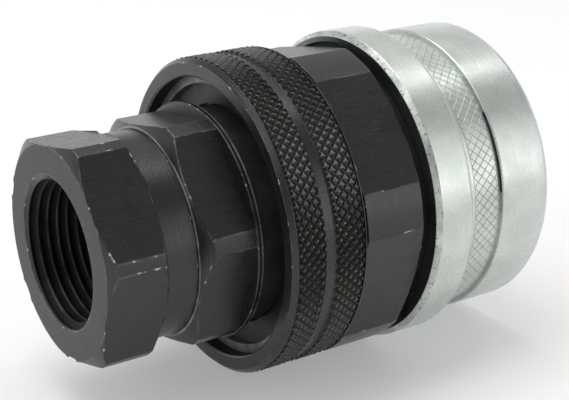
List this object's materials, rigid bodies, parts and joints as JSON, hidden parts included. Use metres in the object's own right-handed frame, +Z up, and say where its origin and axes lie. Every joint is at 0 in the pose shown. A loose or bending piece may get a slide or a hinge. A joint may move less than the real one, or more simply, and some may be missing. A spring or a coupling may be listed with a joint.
{
  "type": "quick disconnect coupler",
  "caption": "Screw-to-connect hydraulic coupler half: threaded hexagon port, spinning knurled nut with a hexagon, pull-back locking sleeve and a flat-faced sprung poppet.",
  "frame": {"origin": "centre of the port face, on the coupler's axis", "axes": "+X along the axis from the port to the mating end, +Z up as in the picture"},
  "size_m": [0.0842, 0.0572, 0.0572],
  "materials": {
    "black_zinc_steel": "black zinc plate on turned and milled steel, satin",
    "bright_zinc_steel": "bright zinc plate on turned steel, satin",
    "turned_steel": "fine turned",
    "spring_steel": "drawn wire or stamped, oiled",
    "brass": "turned",
    "bronze": "ground bearing bronze",
    "blackened_steel": "hardened, ground and oil-blackened",
    "seal_rubber": "moulded nitrile rubber, matte",
    "backup_plastic": "white fluoropolymer ring"
  },
  "bodies": {
    "body": {"port_adapter": "black_zinc_steel", "adapter_o_ring": "seal_rubber", "adapter_backup_ring": "backup_plastic", "valve_body": "black_zinc_steel", "nose_o_ring": "seal_rubber", "nose_backup_ring": "backup_plastic", "poppet_guide": "brass", "guide_bush": "bronze", "poppet_spring": "spring_steel"},
    "nut": {"coupling_nut": "black_zinc_steel", "nut_snap_ring": "spring_steel", "rear_thrust_washer": "blackened_steel", "front_thrust_washer": "blackened_steel", "nut_dust_seal": "seal_rubber", "sleeve_key_pins": "turned_steel", "sleeve_spring": "spring_steel", "sleeve_stop_ring": "spring_steel"},
    "sleeve": {"locking_sleeve": "bright_zinc_steel"},
    "poppet": {"poppet": "turned_steel", "poppet_o_ring": "seal_rubber"}
  },
  "joints": [
    {"name": "nut_spin", "type": "hinge", "parent": "body", "child": "nut", "pos_m": [0.0355, 0, 0], "axis": [1, 0, 0], "continuous": true},
    {"name": "sleeve_slide", "type": "slide", "parent": "nut", "child": "sleeve", "axis": [-1, 0, 0], "range_m": [0, 0.002], "stiffness_N_per_m": 1500, "springref_m": -0.003, "deforming": ["sleeve_spring"]},
    {"name": "poppet_slide", "type": "slide", "parent": "body", "child": "poppet", "axis": [-1, 0, 0], "range_m": [0, 0.006], "stiffness_N_per_m": 1200, "springref_m": -0.006, "deforming": ["poppet_spring"]}
  ]
}
